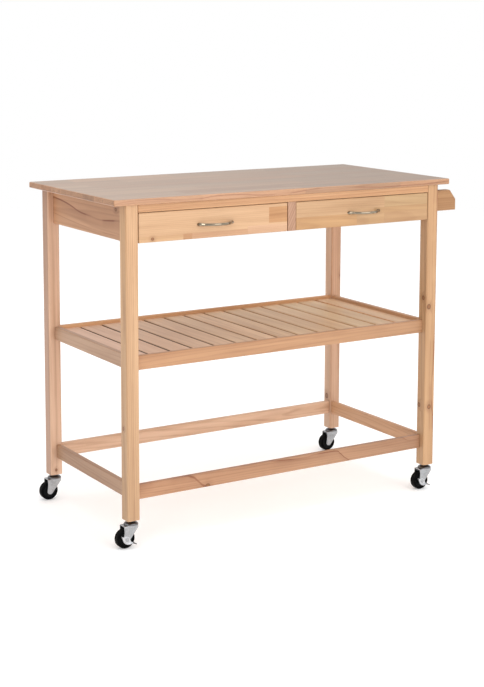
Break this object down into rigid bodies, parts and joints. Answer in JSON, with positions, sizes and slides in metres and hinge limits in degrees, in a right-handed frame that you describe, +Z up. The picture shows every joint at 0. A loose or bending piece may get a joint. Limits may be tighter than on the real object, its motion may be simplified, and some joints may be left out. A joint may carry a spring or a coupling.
{
  "type": "kitchen island cart",
  "caption": "Wooden kitchen island cart on swivel casters, with a flat worktop, drawers under it, a slatted middle shelf, a bottom stretcher frame and an end towel bar.",
  "frame": {"origin": "middle of the bounding box on the floor, under the casters", "axes": "+X to the right along the worktop's length, towards the towel bar; +Y to the back, away from the drawer fronts; +Z up"},
  "size_m": [1.0722, 0.5257, 0.88],
  "materials": {
    "worktop": "satin lacquered finger-jointed pine",
    "legs": "clear satin pine",
    "rails": "clear satin pine",
    "slats": "clear satin pine",
    "drawer_fronts": "clear satin finger-jointed pine",
    "drawer_trays": "bare plywood and softwood",
    "handles": "polished",
    "zinc": "bright zinc plate",
    "wheels": "smooth black"
  },
  "bodies": {
    "cart": {"worktop": "worktop", "leg_front_left": "legs", "leg_front_right": "legs", "leg_back_left": "legs", "leg_back_right": "legs", "apron_left": "rails", "apron_right": "rails", "apron_back": "rails", "top_rail_front": "rails", "drawer_partition": "rails", "shelf_rail_front": "rails", "shelf_rail_back": "rails", "shelf_rail_left": "rails", "shelf_rail_right": "rails", "slat_01": "slats", "slat_02": "slats", "slat_03": "slats", "slat_04": "slats", "slat_05": "slats", "slat_06": "slats", "slat_07": "slats", "slat_08": "slats", "slat_09": "slats", "slat_10": "slats", "slat_11": "slats", "slat_12": "slats", "slat_13": "slats", "slat_14": "slats", "stretcher_front": "rails", "stretcher_back": "rails", "stretcher_left": "rails", "stretcher_right": "rails", "towel_bracket_front": "rails", "towel_bracket_back": "rails", "towel_bar": "rails", "caster_front_left_stem": "zinc", "caster_front_right_stem": "zinc", "caster_back_left_stem": "zinc", "caster_back_right_stem": "zinc"},
    "drawer_left": {"drawer_left_front": "drawer_fronts", "drawer_left_tray": "drawer_trays", "drawer_left_bottom": "drawer_trays", "drawer_left_handle": "handles"},
    "drawer_right": {"drawer_right_front": "drawer_fronts", "drawer_right_tray": "drawer_trays", "drawer_right_bottom": "drawer_trays", "drawer_right_handle": "handles"},
    "caster_front_left": {"caster_front_left_fork": "zinc"},
    "wheel_front_left": {"caster_front_left_wheel": "wheels"},
    "lever_front_left": {"caster_front_left_lever": "zinc"},
    "caster_front_right": {"caster_front_right_fork": "zinc"},
    "wheel_front_right": {"caster_front_right_wheel": "wheels"},
    "lever_front_right": {"caster_front_right_lever": "zinc"},
    "caster_back_left": {"caster_back_left_fork": "zinc"},
    "wheel_back_left": {"caster_back_left_wheel": "wheels"},
    "caster_back_right": {"caster_back_right_fork": "zinc"},
    "wheel_back_right": {"caster_back_right_wheel": "wheels"}
  },
  "joints": [
    {"name": "drawer_left_slide", "type": "slide", "parent": "cart", "child": "drawer_left", "axis": [0, -1, 0], "range_m": [0, 0.28]},
    {"name": "drawer_right_slide", "type": "slide", "parent": "cart", "child": "drawer_right", "axis": [0, -1, 0], "range_m": [0, 0.28]},
    {"name": "caster_front_left_swivel", "type": "hinge", "parent": "cart", "child": "caster_front_left", "pos_m": [-0.48465, -0.21725, 0.0587], "axis": [0, 0, 1], "continuous": true},
    {"name": "wheel_front_left_spin", "type": "hinge", "parent": "caster_front_left", "child": "wheel_front_left", "pos_m": [-0.50265, -0.21725, 0.025], "axis": [0, 1, 0], "continuous": true},
    {"name": "lever_front_left_press", "type": "hinge", "parent": "caster_front_left", "child": "lever_front_left", "pos_m": [-0.50265, -0.21725, 0.025], "axis": [0, 1, 0], "range_deg": [0, 20]},
    {"name": "caster_front_right_swivel", "type": "hinge", "parent": "cart", "child": "caster_front_right", "pos_m": [0.45035, -0.21725, 0.0587], "axis": [0, 0, 1], "continuous": true},
    {"name": "wheel_front_right_spin", "type": "hinge", "parent": "caster_front_right", "child": "wheel_front_right", "pos_m": [0.43235, -0.21725, 0.025], "axis": [0, 1, 0], "continuous": true},
    {"name": "lever_front_right_press", "type": "hinge", "parent": "caster_front_right", "child": "lever_front_right", "pos_m": [0.43235, -0.21725, 0.025], "axis": [0, 1, 0], "range_deg": [0, 20]},
    {"name": "caster_back_left_swivel", "type": "hinge", "parent": "cart", "child": "caster_back_left", "pos_m": [-0.48465, 0.23875, 0.0587], "axis": [0, 0, 1], "continuous": true},
    {"name": "wheel_back_left_spin", "type": "hinge", "parent": "caster_back_left", "child": "wheel_back_left", "pos_m": [-0.50265, 0.23875, 0.025], "axis": [0, 1, 0], "continuous": true},
    {"name": "caster_back_right_swivel", "type": "hinge", "parent": "cart", "child": "caster_back_right", "pos_m": [0.45035, 0.23875, 0.0587], "axis": [0, 0, 1], "continuous": true},
    {"name": "wheel_back_right_spin", "type": "hinge", "parent": "caster_back_right", "child": "wheel_back_right", "pos_m": [0.43235, 0.23875, 0.025], "axis": [0, 1, 0], "continuous": true}
  ]
}
